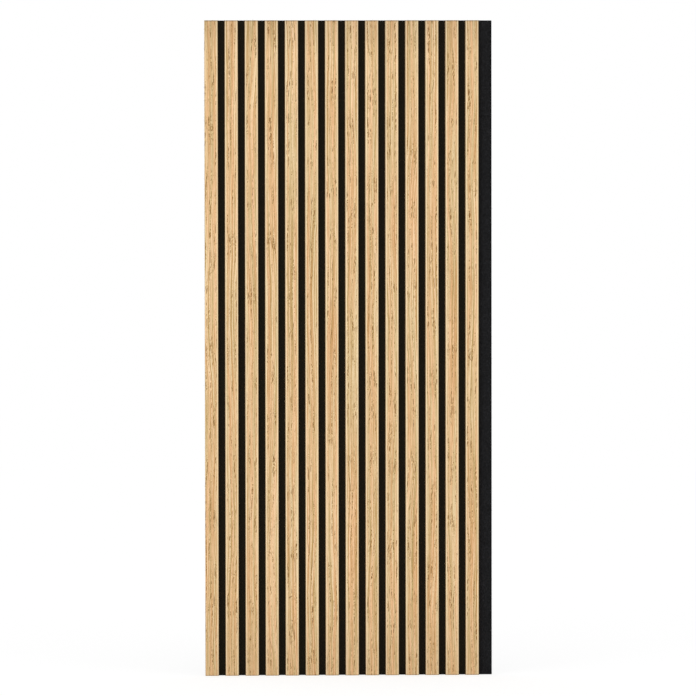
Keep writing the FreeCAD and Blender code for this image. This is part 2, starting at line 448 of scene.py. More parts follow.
@dataclass(frozen=True)
class OakVeneer:
    """Matt-lacquered light oak veneer, wrapped round a slat's face and sides."""

    figure: Figure  # the slat's grain
    middle: float  # the slat's middle, from the panel's middle
    face: float  # how far the slat's face stands out of the wall
    top: float  # the panel's height
    outermost: bool  # whether it has no groove at its left

    # tones, from dark to light where there are three, and where those lie on their scale
    straw: tuple[Tone, Tone, Tone] = (Tone(173, 146, 86), Tone(216, 190, 139), Tone(239, 219, 176))
    peach: tuple[Tone, Tone, Tone] = (Tone(193, 141, 83), Tone(236, 183, 133), Tone(250, 210, 168))
    tone_places: Triple = (0.2, 0.5, 0.8)
    # a painted highlight along the long corners
    highlight_tone: Tone = Tone(246, 224, 184)
    glow: Tone = Tone(248, 222, 160)
    early: Tone = Tone(184, 138, 76)
    stain: Tone = Tone(138, 87, 0)
    pore: Tone = Tone(104, 63, 0)
    knot: Tone = Tone(116, 74, 24)
    # painted shade where the veneer turns round a corner
    fold_shade_tone: Tone = Tone(140, 124, 98)

    # how much of a tone is laid on, at most
    highlight_share: float = 0.75
    glow_share: float = 0.36
    early_share: float = 0.1
    pore_share: float = 0.85

    # how the grain's lines bend, and how far apart the slats' pieces of grain are
    bends: tuple[Layer, ...] = (
        Layer(400, 420, shift=4, strength=13),
        Layer(50, 130, shift=5, strength=2.4),
        Layer(9, 42, shift=6, strength=0.7),
    )
    bends_apart: float = 531.0
    grain_apart: float = 997.0

    # how light the clear wood is, in streaks and fine fibres, and where it is peach, not straw
    streaks: tuple[Layer, ...] = (
        Layer(1.3, 480, shift=1, strength=0.675),
        Layer(1.2, 90, detail=2, roughness=0.6, shift=2, strength=0.475),
        Layer(0.16, 11, detail=2, roughness=0.55, shift=9, strength=0.4),
    )
    fibres: Layer = Layer(0.42, 24, detail=3, roughness=0.65, shift=3)
    fibre_light: Pair = (0.245, 0.685)
    bands: Layer = Layer(6.5, 380, detail=2, shift=7)
    peachy: Ramp = Ramp(0.28, 0.72, 0.16, 0.84)

    # a year's early wood, which starts sharply and fades, and how uneven the years are
    years: Layer = Layer(2.7, 1, detail=0)
    year_swing: float = 2.2
    year_starts: Ramp = Ramp(0.9, 1.0)
    year_fades: Ramp = Ramp(0.5, 0.05)

    # flecks: where they crowd, how fibres fray them, and the paler wood beside them
    crowds: Layer = Layer(5.0, 56, shift=8)
    crowding: float = 2.3
    fray: float = 0.2
    fleck_fades: float = 0.08
    fleck_core: float = 0.62  # how much of a fleck's width is full dark
    fleck_glow: float = 2.1  # how far the paler wood reaches, in flecks' widths
    in_early_wood: Ramp = Ramp(0.05, 0.5, 0.35, 1.0)
    threads: Layer = Layer(0.2, 4.5, detail=2, roughness=0.6, shift=10)
    threaded: Ramp = Ramp(0.34, 0.54, 0.72, 1.0)
    sets: tuple[FleckSet, ...] = (
        FleckSet(lean=2.0, apart=(2.4, 19, 1), width=0.39, rarer=0.5),
        FleckSet(lean=12.0, apart=(3.4, 27, 1), width=0.29, rarer=0.51),
        FleckSet(lean=6.0, apart=(2.1, 5.5, 1), width=0.34, rarer=0.52),
    )

    # pores: how the early wood and the crowds raise their chance, and their outline
    pores_apart: Triple = (0.52, 6.5, 1.0)
    early_chance: Pair = (-0.65, -0.25)
    crowd_chance: Pair = (-0.5, 0.5)
    pore_shows: Ramp = Ramp(0.42, 0.57)
    pore_edge: Ramp = Ramp(0.4, 0.22)

    # the long corners, from the slat's middle and from its face, and the sides, from the face
    # a painted highlight along each corner
    highlight_band: tuple[Ramp, Ramp] = (Ramp(9.6, 11.0), Ramp(1.0, 0.2))
    # painted shade where the veneer folds round the corner
    fold_shade_band: tuple[Ramp, Ramp] = (Ramp(12.0, 12.8), Ramp(2.2, 1.0))
    # painted shade on the sides, deeper towards the felt
    side_shades: tuple[Ramp, Ramp] = (Ramp(0.6, 2.0, 1.0, 0.8), Ramp(3, 12, 1.0, 0.85))

    # a slat's own marks
    mark_fray: float = 0.5
    mark_edge: Ramp = Ramp(1.15, 0.35)
    dashes: Layer = Layer(2.4, 10)
    dashed: Ramp = Ramp(0.42, 0.58)

    # painted shade near the foot and the head, then saw browning, up from the foot and down from
    # the top
    feet: tuple[Ramp, Ramp] = (Ramp(0, 170, 0.925, 1.0), Ramp(0.6, 2.8, 0.66, 1.0))
    heads: tuple[Ramp, Ramp] = (Ramp(-80, 0, 1.0, 0.86), Ramp(-3.2, -0.8, 1.0, 0.56))

    def made(self) -> Material:
        """Mixes the finish, with the slat's own grain.

        Returns:
            The material.
        """
        name = f"oak_veneer_{self.figure.seed:.1f}".replace(".", "_")
        r = Recipe(bpy.data.materials.new(name))
        x, y, along = r.parts(r.place_mm())
        local = r.sum_of("SUBTRACT", x, self.middle)
        depth = r.plus(y, self.face)
        across = r.sum_of("MULTIPLY_ADD", r.sum_of("SIGN", local), depth, local)
        lines = self.lines(r, across, along)
        start = r.plus(lines, self.grain_apart * self.figure.seed)
        grain = r.vector(start, along)
        layers = self.fibres, self.crowds, self.threads
        fibre, crowd, thread = (r.cloud(grain, layer) for layer in layers)
        early = self.rings(r, lines, along)
        flecks, beside = self.flecks(r, start, along, early, crowd, fibre)
        pores = self.pores(r, grain, early, crowd, flecks)
        colour = self.clear_wood(r, grain, fibre)
        for amount, tone in (
            (r.times(early, self.early_share), self.early),
            (r.times(beside, self.glow_share), self.glow),
            (r.times(flecks, r.step(thread, self.threaded)), self.stain),
            (r.times(pores, self.pore_share), self.pore),
        ):
            colour = r.blend(amount, colour, tone)
        colour = self.corners(r, colour, local, depth)
        colour = self.marks(r, colour, r.vector(across, along), fibre)
        height = r.sum_of("SUBTRACT", r.level(fibre, 0.0, 0.5), pores)
        return r.finish(
            Base_Color=self.ends(r, colour, along),
            Roughness=r.level(pores, 0.5, 0.72),
            Specular_IOR_Level=0.3,
            Normal=r.bump(height, depth=0.06, strength=0.7),
        )

    def lines(self, r: Recipe, across: Socket, along: Socket) -> Socket:
        """The place across as the grain has it, whose lines bend as they run up the slat."""
        here = r.vector(r.plus(across, self.bends_apart * self.figure.seed), along)
        return r.plus(across, r.plus(*(r.cloud(here, bend) for bend in self.bends)))

    def rings(self, r: Recipe, lines: Socket, along: Socket) -> Socket:
        """Draws the years round the log's heart.

        Args:
            r: the recipe.
            lines: the place across, as the grain has it.
            along: the place up the strip.

        Returns:
            1 in the early wood and 0 in the late wood.
        """
        heart, taper = self.figure.cut.value
        from_heart = r.plus(lines, heart * self.figure.side)
        rise = r.times(r.sum_of("SUBTRACT", along, self.figure.peak), taper)
        squares = r.sum_of("MULTIPLY_ADD", rise, rise, r.times(from_heart, from_heart))
        radius = r.sum_of("DIVIDE", r.sum_of("SQRT", squares), self.figure.ring)
        uneven = r.cloud(r.vector(radius, self.figure.seed), self.years)
        year = r.sum_of("FRACT", r.sum_of("MULTIPLY_ADD", uneven, self.year_swing, radius))
        return r.sum_of("MAXIMUM", r.step(year, self.year_fades), r.step(year, self.year_starts))

    def clear_wood(self, r: Recipe, grain: Socket, fibre: Socket) -> Socket:
        """Fine streaks from dark to light, in long soft bands of straw and peach.

        Args:
            r: the recipe.
            grain: the point along the grain.
            fibre: the fine fibres.

        Returns:
            The clear wood's colour.
        """
        streaks = (r.cloud(grain, streak) for streak in self.streaks)
        light = r.plus(*streaks, r.level(fibre, *self.fibre_light))
        band = r.plus(r.cloud(grain, self.bands), r.level(fibre, -self.fray, self.fray))
        straw = r.scale_of(light, self.tone_places, self.straw)
        peach = r.scale_of(light, self.tone_places, self.peach)
        return r.blend(r.step(band, self.peachy), straw, peach)

    def flecks(
        self, r: Recipe, start: Socket, along: Socket, early: Socket, crowd: Socket, fibre: Socket
    ) -> tuple[Socket, Socket]:
        """Short dark flecks, where pores crowd together, with paler wood beside them.

        Args:
            r: the recipe.
            start: the place across the slat's own piece of grain.
            along: the place up the strip.
            early: the early wood.
            crowd: where the wood is fuller of pores.
            fibre: the fine fibres.

        Returns:
            1 in a fleck and 0 outside, and the same for the paler wood.
        """
        lot = r.level(crowd, -self.crowding, self.crowding)
        frayed = r.level(fibre, -self.fray, self.fray)
        flecks: Feed = 0.0
        beside: Feed = 0.0
        for kind in self.sets:
            slope = -math.tan(math.radians(self.figure.lean + kind.lean))
            leaning = r.vector(r.sum_of("MULTIPLY_ADD", along, slope, start), along)
            near, pick = r.cells(leaning, kind.apart)
            near = r.plus(near, frayed)
            rare = 1.0 - self.figure.flecks + kind.rarer
            some = r.step(r.plus(pick, lot), Ramp(rare, rare + self.fleck_fades))
            dark = r.step(near, Ramp(kind.width, kind.width * self.fleck_core))
            pale = r.step(near, Ramp(kind.width * self.fleck_glow, kind.width))
            flecks = r.sum_of("MAXIMUM", flecks, r.times(dark, some))
            beside = r.sum_of("MAXIMUM", beside, r.times(pale, some))
        full = r.step(early, self.in_early_wood)
        return r.times(flecks, full), r.times(beside, full)

    def pores(
        self, r: Recipe, grain: Socket, early: Socket, crowd: Socket, flecks: Socket
    ) -> Socket:
        """The open pores, fine dark dashes that fill the early wood and the flecks.

        Args:
            r: the recipe.
            grain: the point along the grain.
            early: the early wood.
            crowd: where the wood is fuller of pores.
            flecks: the flecks.

        Returns:
            1 in a pore and 0 outside.
        """
        near, pick = r.cells(grain, self.pores_apart)
        chances = r.level(early, *self.early_chance), r.level(crowd, *self.crowd_chance), flecks
        some = r.step(r.plus(pick, r.plus(*chances)), self.pore_shows)
        return r.times(r.step(near, self.pore_edge), some)

    def corners(self, r: Recipe, colour: Socket, local: Socket, depth: Socket) -> Socket:
        """Paints a highlight on the corners beside a groove, and shade on their fold and the sides.

        Args:
            r: the recipe.
            colour: the wood's colour.
            local: the place from the slat's middle.
            depth: the place behind the slat's face.

        Returns:
            The colour with its corners and sides.
        """
        outward = local if self.outermost else r.sum_of("ABSOLUTE", local)
        # a painted highlight along each corner, then painted shade at its fold
        painted_highlight, fold_shade = (
            r.times(r.step(outward, across), r.step(depth, down))
            for across, down in (self.highlight_band, self.fold_shade_band)
        )
        colour = r.blend(r.times(painted_highlight, self.highlight_share), colour, self.highlight_tone)
        colour = r.blend(fold_shade, colour, r.blend(1.0, colour, self.fold_shade_tone, "MULTIPLY"))
        # painted shade on the sides
        return r.shaded(colour, r.steps(depth, self.side_shades))

    def marks(self, r: Recipe, colour: Socket, here: Socket, fibre: Socket) -> Socket:
        """The marks that this slat alone has.

        Args:
            r: the recipe.
            colour: the wood's colour.
            here: the place on the strip.
            fibre: the fine fibres, which fray a mark's outline.

        Returns:
            The colour with its marks.
        """
        frayed = r.level(fibre, -self.mark_fray, self.mark_fray)
        dashes = r.step(r.cloud(here, replace(self.dashes, shift=self.figure.seed)), self.dashed)
        for mark in self.figure.marks:
            size = (mark.width / 2, mark.length / 2, 1.0)
            spot = r.fitted(here, size, (mark.across, mark.height, 0.0), -math.radians(mark.lean))
            away = r.node("VectorMath", {0: spot}, operation="LENGTH").outputs["Value"]
            amount = r.times(r.step(r.plus(away, frayed), self.mark_edge), mark.depth)
            if mark.broken:
                amount = r.times(amount, dashes)
            colour = r.blend(amount, colour, self.knot)
        return colour

    def ends(self, r: Recipe, colour: Socket, along: Socket) -> Socket:
        """The colour, with soft painted shade towards the slat's two ends, and browned where it was
        sawn.
        """
        from_top = r.sum_of("SUBTRACT", along, self.top)
        # the first ramp of each pair is painted shade, the second the saw's browning
        return r.shaded(colour, r.steps(along, self.feet), r.steps(from_top, self.heads))


@dataclass(frozen=True)
class FibreBoard:
    """The slats' core, sawn across at its ends: fine brown fibres, denser near its faces."""

    middle: float = 14.7  # how far the core's middle stands out of the wall
    dark: Tone = Tone(128, 96, 62)
    body: Tone = Tone(176, 142, 100)
    pale: Tone = Tone(203, 172, 128)
    tone_places: Triple = (0.28, 0.5, 0.74)
    flakes: Layer = Layer(0.9, 0.35, 0.9, detail=3, roughness=0.65)
    dust_and_bounce: Layer = Layer(0.3, 0.3, 0.3, detail=2, roughness=0.7, shift=2)
    mass: Layer = Layer(6, 5, 40, shift=4)
    flake_tone: Pair = (0.0, 0.6)  # what the flakes add to the place on the scale, from and to
    mass_tone: Pair = (-0.1, 0.5)  # what the mass adds
    pressed: Ramp = Ramp(3.4, 5.4, 0.0, 0.35)
    dusty_and_bounced: Ramp = Ramp(0.62, 0.72, 0.0, 0.5)

    def made(self) -> Material:
        """Mixes the finish.

        Returns:
            The material.
        """
        r = Recipe(bpy.data.materials.new("fibre_board"))
        point = r.place_mm()
        layers = self.flakes, self.dust_and_bounce, self.mass
        flakes, dust_and_bounce, mass = (r.cloud(point, layer) for layer in layers)
        shade = r.plus(r.level(flakes, *self.flake_tone), r.level(mass, *self.mass_tone))
        colour = r.scale_of(shade, self.tone_places, (self.dark, self.body, self.pale))
        from_middle = r.sum_of("ABSOLUTE", r.plus(r.parts(point)[1], self.middle))
        colour = r.blend(r.step(from_middle, self.pressed), colour, self.dark)
        return r.finish(
            Base_Color=r.blend(r.step(dust_and_bounce, self.dusty_and_bounced), colour, self.pale),
            Roughness=r.level(dust_and_bounce, 0.72, 0.95),
            Specular_IOR_Level=0.2,
            Normal=r.bump(flakes, depth=0.12, strength=0.8),
        )


@dataclass(frozen=True)
class NeedledFelt:
    """Black needled felt of polyester fibre, matted flat on its faces and layered where cut."""

    half_width: float  # half the board's width
    height: float  # the board's height
    bare_from: float  # where the last slat ends and the bare strip begins
    dark: Tone = Tone(12, 12, 13)
    body: Tone = Tone(22, 22, 23)
    grey: Tone = Tone(33, 33, 35)
    tone_places: Triple = (0.3, 0.5, 0.72)
    pale: Tone = Tone(66, 66, 70)
    pale_share: float = 0.4
    mat: Layer = Layer(2.2, 0.5, 5.5, detail=3, roughness=0.7)
    patches: Layer = Layer(26, 9, 60, detail=2, shift=5, strength=0.12)
    mat_tone: Pair = (0.1, 0.9)  # what the mat adds to the place on the scale, from and to
    mat_height: float = 0.7  # and how high it stands

    # the fibres in the faces: which ways they lie, in radians, and how they bend
    lays: tuple[float, ...] = (0.35, 1.1, 1.9, 2.7)
    fibre: Layer = Layer(7.0, 0.4, 1.6)
    fibre_edge: Ramp = Ramp(0.62, 0.74)
    fibre_bend: Layer = Layer(14, 14, 14, strength=4.0)
    fibre_height: float = 0.35

    # the needles' holes
    needles_apart: Triple = (2.4, 30, 2.4)
    hole: Ramp = Ramp(0.2, 0.04, 0.0, 0.25)

    # painted warm light bounced off the oak into the grooves: where it ends, from the last slat's
    # edge, and in front
    dusty_and_bounced: Tone = Tone(35, 31, 18)
    bounce_share: float = 0.7
    bounce_stops: Ramp = Ramp(3.0, -1.0)
    bounce_front: Ramp = Ramp(-8.0, -8.8)

    # the last few millimetres, which the blade pressed and sealed
    sealed_side: Ramp = Ramp(-3.0, -1.0)
    sealed_foot: Ramp = Ramp(2.5, 0.5)
    sealed_head: Ramp = Ramp(-2.5, -0.5)
    sealed_share: float = 0.6

    def made(self) -> Material:
        """Mixes the finish.

        Returns:
            The material.
        """
        r = Recipe(bpy.data.materials.new("needled_felt"))
        point = r.place_mm()
        mat = r.cloud(point, self.mat)
        fibres: Feed = 0.0
        for lay in self.lays:
            fibres = r.sum_of("MAXIMUM", fibres, self.fibres(r, point, lay))
        shade = r.plus(r.level(mat, *self.mat_tone), r.cloud(point, self.patches))
        colour = r.scale_of(shade, self.tone_places, (self.dark, self.body, self.grey))
        colour = r.blend(r.times(fibres, self.pale_share), colour, self.pale)
        holes = r.step(r.cells(point, self.needles_apart, "3D")[0], self.hole)
        height = r.level(mat, 0.0, self.mat_height)
        height = r.sum_of("MULTIPLY_ADD", fibres, self.fibre_height, height)
        return r.finish(
            Base_Color=self.bounce_and_edges(r, colour, point),
            Roughness=r.level(mat, 0.8, 1.0),
            Specular_IOR_Level=0.06,
            Sheen_Weight=0.05,
            Sheen_Roughness=0.5,
            Sheen_Tint=(0.8, 0.8, 0.85, 1.0),
            Normal=r.bump(r.sum_of("SUBTRACT", height, holes), depth=0.3, strength=0.8),
        )

    def fibres(self, r: Recipe, point: Socket, lay: float) -> Socket:
        """Fine, slightly bent fibres that all lie one way in the felt's face.

        Args:
            r: the recipe.
            point: the point on the felt.
            lay: which way they lie, in radians.

        Returns:
            1 on a fibre and 0 beside it.
        """
        x, y, z = r.parts(point)
        bend = r.cloud(point, replace(self.fibre_bend, shift=lay))
        along = r.sum_of("MULTIPLY_ADD", z, math.sin(lay), r.times(x, math.cos(lay)))
        beside = r.sum_of("MULTIPLY_ADD", z, math.cos(lay), r.times(x, -math.sin(lay)))
        laid = r.vector(along, r.plus(beside, bend), y)
        return r.step(r.cloud(laid, replace(self.fibre, shift=lay)), self.fibre_edge)

    def bounce_and_edges(self, r: Recipe, colour: Socket, point: Socket) -> Socket:
        """Paints warm light bounced off the oak into the grooves, and darkens the cut edges.

        Args:
            r: the recipe.
            colour: the felt's colour.
            point: the point on the felt.

        Returns:
            The colour with its painted bounce light and its edges.
        """
        x, y, z = r.parts(point)
        # painted warm light bounced off the oak, in the grooves near the felt's face
        grooves = r.step(r.sum_of("SUBTRACT", x, self.bare_from), self.bounce_stops)
        dust_and_bounce = r.times(grooves, r.step(y, self.bounce_front), self.bounce_share)
        aside = r.sum_of("SUBTRACT", r.sum_of("ABSOLUTE", x), self.half_width)
        side, foot = r.step(aside, self.sealed_side), r.step(z, self.sealed_foot)
        head = r.step(r.sum_of("SUBTRACT", z, self.height), self.sealed_head)
        edge = r.sum_of("MAXIMUM", side, r.sum_of("MAXIMUM", foot, head))
        colour = r.blend(dust_and_bounce, colour, self.dusty_and_bounced)
        return r.blend(r.times(edge, self.sealed_share), colour, self.dark)


@dataclass(frozen=True)
class StapleWire:
    """Bright zinc-coated wire, flattened and drawn lengthwise, with a thin film of glue."""

    dull: Tone = Tone(132, 133, 134)
    zinc: Tone = Tone(182, 184, 186)
    tone_places: Pair = (0.3, 0.65)
    film: Tone = Tone(190, 168, 120)
    filmed: Ramp = Ramp(0.5, 0.7, 0.0, 0.4)
    drawn: Layer = Layer(5.0, 0.12, 0.12, detail=2, roughness=0.6)
    bloom: Layer = Layer(0.8, 0.8, 0.8, detail=2, roughness=0.6, shift=3)

    def made(self) -> Material:
        """Mixes the finish.

        Returns:
            The material.
        """
        r = Recipe(bpy.data.materials.new("staple_wire"))
        point = r.place_mm()
        drawn, bloom = r.cloud(point, self.drawn), r.cloud(point, self.bloom)
        colour = r.scale_of(drawn, self.tone_places, (self.dull, self.zinc))
        return r.finish(
            Base_Color=r.blend(r.step(bloom, self.filmed), colour, self.film),
            Metallic=1.0,
            Roughness=r.plus(r.level(drawn, 0.2, 0.34), r.level(bloom, 0.0, 0.16)),
            Normal=r.bump(drawn, depth=0.02, strength=0.5),
        )


@dataclass(frozen=True)
class LooseFibre:
    """The felt's fibres where they stand free of it."""

    root: Tone = Tone(34, 34, 36)
    tip: Tone = Tone(92, 92, 96)
    tone_places: Pair = (0.4, 0.75)
    mottle: Layer = Layer(3, 3, 3)

    def made(self) -> Material:
        """Mixes the finish.

        Returns:
            The material.
        """
        r = Recipe(bpy.data.materials.new("loose_fibre"))
        some = r.cloud(r.place_mm(), self.mottle)
        return r.finish(
            Base_Color=r.scale_of(some, self.tone_places, (self.root, self.tip)),
            Roughness=r.level(some, 0.4, 0.7),
            Specular_IOR_Level=0.3,
        )


def deselect_all() -> None:
    """Leaves nothing selected, so that an operator reaches only what is added next."""
    for other in bpy.context.view_layer.objects:
        other.select_set(False)


def dress(piece: Piece, material: Material) -> None:
    """Puts one material on all of a piece.

    Args:
        piece: the piece.
        material: its finish.
    """
    if not piece.material_slots:
        piece.data.materials.append(material)
    for slot in piece.material_slots:
        slot.material = material


@dataclass
class Slat:
    """One slat: a fibreboard core, its wrap of veneer, and the staples that hold it."""

    number: int  # its place from the left, from 1
    middle: float  # its middle, from the panel's middle
    face: float  # how far its face stands out of the wall
    height: float  # how long it is
    core_finish: Material  # the core's material, which all slats share
    wire_finish: Material  # the staples' material, which all slats share

    def node(self, part: str) -> Piece:
        """One of the slat's CAD pieces, by the last part of its name."""
        return frame["nodes"][f"slat_{self.number:02d}_{part}"]

    def build(self) -> None:
        """Dresses the slat's three pieces."""
        figure = FIGURES[self.number - 1]
        oak = OakVeneer(figure, self.middle, self.face, self.height, self.number == 1)
        dress(self.node("veneer"), oak.made())
        dress(self.node("core"), self.core_finish)
        dress(self.node("staples"), self.wire_finish)
        LOG.info("slat %d: %s", self.number, figure.cut.name.lower())


@dataclass
class Fringe:
    """Loose fibres standing out of the felt."""

    name: str  # the piece's name
    length: float  # how long the longest fibre is
    seed: int  # which fibre stands where
    shortest: float = 0.3  # the shortest fibre, as a share of the longest
    thickness: float = 0.07  # how thick a fibre is
    bends: int = 5  # how many steps a fibre is bent in
    curls: tuple[float, ...] = (6.0, 22.0, 38.0)  # how far each step turns, in degrees, by kind
    taper: float = 0.95  # how much thinner each step is
    tip: float = 0.45  # and the last one
    unruly: float = 0.35  # how far the fibres stray from their way

    def strand(self, curl: float) -> Piece:
        """Models a fibre by drawing a small triangle out in steps, each bent a little further.

        Args:
            curl: how far each step turns, in degrees.

        Returns:
            A fibre one metre long, standing on the origin.
        """
        deselect_all()
        radius = self.thickness / self.length
        bpy.ops.mesh.primitive_circle_add(vertices=3, radius=radius, fill_type="NGON")
        bpy.ops.object.mode_set(mode="EDIT")
        bpy.ops.mesh.select_all(action="SELECT")
        tip = Vector((0.0, 0.0, 0.0))
        for i in range(self.bends):
            lean = math.radians(curl * (i + 0.5))
            move = Vector((math.sin(lean), 0.0, math.cos(lean))) / self.bends
            bpy.ops.mesh.extrude_region_move(TRANSFORM_OT_translate={"value": move})
            tip += move
            thin = self.tip if i == self.bends - 1 else self.taper
            bpy.ops.transform.resize(value=(thin, thin, 1.0), center_override=tip)
        bpy.ops.mesh.select_all(action="SELECT")
        bpy.ops.mesh.normals_make_consistent(inside=False)
        bpy.ops.object.mode_set(mode="OBJECT")
        return bpy.context.object

    def build(self, roots: np.ndarray, ways: np.ndarray, finish: Material) -> None:
        """Stands a copy of a fibre on each root, and joins them in one piece.

        Args:
            roots: a point for each fibre.
            ways: the way each one leaves the felt.
            finish: the fibres' material.
        """
        rng = np.random.default_rng(self.seed)
        strands = [self.strand(curl) for curl in self.curls]
        deselect_all()
        for root, way in zip(roots, ways):
            fibre = strands[rng.integers(len(strands))].copy()
            fibre.data = fibre.data.copy()
            size = self.length * rng.uniform(self.shortest, 1.0) / METRE
            lean = Vector(way) + Vector(rng.normal(0.0, self.unruly, 3))
            spin = Matrix.Rotation(rng.uniform(0, math.tau), 4, "Z")
            turn = lean.to_track_quat("Z", "X").to_matrix().to_4x4()
            place = Matrix.Translation(Vector(root) / METRE)
            fibre.matrix_world = place @ turn @ spin @ Matrix.Scale(size, 4)
            bpy.context.collection.objects.link(fibre)
            fibre.select_set(True)
        bpy.context.view_layer.objects.active = fibre
        bpy.ops.object.join()
        bpy.ops.object.transform_apply(location=True, rotation=True, scale=True)
        fringe = bpy.context.object
        for strand in strands:
            bpy.data.objects.remove(strand)
        fringe.name = self.name
        dress(fringe, finish)
        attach(fringe, "root")
        LOG.info("%s: %d fibres", self.name, len(roots))


@dataclass
class FeltBoard:
    """The board of felt that carries the slats."""

    finish: NeedledFelt  # the felt
    thickness: float  # how thick the board is
    bare: Sequence[Pair]  # the sides of each strip of bare felt in front
    middles: Sequence[float]  # the slats' middles, behind which the staples are
    board: Piece = field(init=False)  # the board itself, once it is modelled
    fluff: float = 1.2  # how far the felt stands out past its cut edge at the right
    softness: float = 0.7  # how far its corners are rounded
    smooth: float = 50.0  # the sharpest edge that is shaded smooth, in degrees
    in_face: float = 0.05  # how near to a face a point lies that is part of it
    back_edge: float = 0.3  # how far in from the back its rounded edges are free

    # where its faces are divided: from side to side all the way up, from top to bottom beside
    # a slat's edge and between the slats, and round each staple, from the staple's middle
    row_gap: float = 18.0
    bare_columns: Pair = (1.2, 3.2)
    bare_column_count: int = 5
    staple_columns: tuple[float, ...] = (-11, -8.5, -6.8, 0, 6.8, 8.5, 11)
    staple_cuts: tuple[float, ...] = (-4.5, -2.2, -0.9, 0.9, 2.2, 4.5)

    # how far bare felt swells, and what share of it from and to how far in from a slat's edge
    swell: float = 0.4
    swelling: tuple[Triple, ...] = ((0.6, 2.0, 0.5), (2.0, 4.0, 0.85), (4.0, 99.0, 1.0))

    # the staples in each slat, the first one's distance from the end, and the dips that they
    # pull in, by half length, half width and depth, at the wire and round it
    staple_rows: int = 6
    staple_inset: float = 54.0
    dips: tuple[Triple, Triple] = ((7.0, 1.2, 1.15), (9.0, 2.6, 0.45))

    # the faces that nothing is glued to
    unevenness: float = 0.5  # how far they stray from flat
    lumps_m: float = 0.045  # how large their lumps are, in metres
    held: float = 1.0  # how far in from a slat's edge the bare felt is free

    # the loose fibres
    edge_spacing: float = 4.0  # how far apart they are along a cut edge
    face_fibres: float = 42.0  # how many there are on a square decimetre of bare felt
    arris: float = 0.3  # how far in from the back the ones on an edge start
    edge_foot: float = 2.0  # how far above the foot the ones on an edge start
    face_foot: float = 3.0  # the same on bare felt
    face_head: float = 1.0  # how far below the top those end
    face_lean: float = 1.2  # how far those lean from straight out
    seed: int = 11  # where they stand

    def build(self) -> None:
        """Models the board and stands its loose fibres on it."""
        self.board = board = self.block()
        self.swell_bare()
        self.dip_staples()
        self.waver()
        bpy.ops.object.shade_smooth_by_angle(angle=math.radians(self.smooth))
        dress(board, self.finish.made())
        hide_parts("felt_backing")
        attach(board, "root")
        LOG.info("%s: %d faces", board.name, len(board.data.polygons))
        fibre = LooseFibre().made()
        rng = np.random.default_rng(self.seed)
        Fringe("felt_fringe", length=3.2, seed=7).build(*self.edge_roots(rng), fibre)
        Fringe("felt_nap", length=2.4, seed=8).build(*self.face_roots(rng), fibre)

    def staple_heights(self) -> np.ndarray:
        """How high each row of staples is."""
        last = self.finish.height - self.staple_inset
        return np.linspace(self.staple_inset, last, self.staple_rows)

    def columns(self) -> list[float]:
        """Picks where the board is cut from top to bottom, so that it can swell and dip.

        Returns:
            The cuts' places from the panel's middle.
        """
        places = [middle + step for middle in self.middles for step in self.staple_columns]
        near, far = self.bare_columns
        for left, right in self.bare:
            places += [left, left + near, right - near, right]
            places += list(np.linspace(left + far, right - far, self.bare_column_count))
        limit = self.finish.half_width - self.softness
        return sorted({round(place, 3) for place in places if -limit < place < limit})

    def rows(self) -> list[float]:
        """Picks where the board is cut from side to side.

        Returns:
            The cuts' heights.
        """
        count = int(self.finish.height / self.row_gap)
        places = list(np.linspace(0, self.finish.height, count + 1)[1:-1])
        places += [height + step for height in self.staple_heights() for step in self.staple_cuts]
        return sorted({round(place, 3) for place in places})

    def block(self) -> Piece:
        """Cuts a block to the board's size, softens its edges, and divides its faces.

        Returns:
            The board.
        """
        wide, high, deep = self.finish.half_width, self.finish.height, self.thickness
        deselect_all()
        bpy.ops.mesh.primitive_cube_add(size=1.0)
        board = bpy.context.object
        board.name = "felt_board"
        bpy.ops.object.mode_set(mode="EDIT")
        bpy.ops.mesh.select_mode(type="VERT")
        bpy.ops.mesh.select_all(action="SELECT")
        size = Vector((2 * wide + self.fluff, deep, high)) / METRE
        bpy.ops.transform.resize(value=size, center_override=(0.0, 0.0, 0.0))
        bpy.ops.transform.translate(value=Vector((self.fluff / 2, -deep / 2, high / 2)) / METRE)
        bpy.ops.mesh.bevel(offset=self.softness / METRE, segments=2, affect="EDGES")
        for axis, places in (((1, 0, 0), self.columns()), ((0, 0, 1), self.rows())):
            for place in places:
                bpy.ops.mesh.select_all(action="SELECT")
                bpy.ops.mesh.bisect(plane_co=Vector(axis) * place / METRE, plane_no=axis)
        bpy.ops.mesh.select_all(action="DESELECT")
        bpy.ops.object.mode_set(mode="OBJECT")
        return board

    def points(self) -> np.ndarray:
        """Reads the board's points.

        Returns:
            Their x, y and z, each in a row of its own, in millimetres.
        """
        flat = np.empty(3 * len(self.board.data.vertices))
        self.board.data.vertices.foreach_get("co", flat)
        return flat.reshape(-1, 3).T * METRE

    def pull(self, chosen: np.ndarray, move: float) -> None:
        """Moves some points out towards the room.

        Args:
            chosen: which points.
            move: how far.
        """
        self.board.data.vertices.foreach_set("select", chosen)
        bpy.ops.object.mode_set(mode="EDIT")
        bpy.ops.transform.translate(value=(0.0, -move / METRE, 0.0))
        bpy.ops.mesh.select_all(action="DESELECT")
        bpy.ops.object.mode_set(mode="OBJECT")

    def swell_bare(self) -> None:
        """Lets the bare felt stand out a little between the slats that press it down."""
        x, y, _ = self.points()
        front = y < -self.thickness + self.in_face
        inside = np.zeros(len(x))
        for left, right in self.bare:
            inside = np.maximum(inside, np.minimum(x - left, right - x))
        for near, far, part in self.swelling:
            self.pull(front & (inside > near) & (inside <= far), self.swell * part)

    def dip_staples(self) -> None:
        """Pulls the back of the felt in round each staple."""
        x, y, z = self.points()
        along = np.min([np.abs(x - middle) for middle in self.middles], axis=0)
        above = np.min([np.abs(z - height) for height in self.staple_heights()], axis=0)
        left = y > -self.in_face
        for reach, half_wide, depth in self.dips:
            chosen = left & (along < reach) & (above < half_wide)
            self.pull(chosen, depth)
            left &= ~chosen

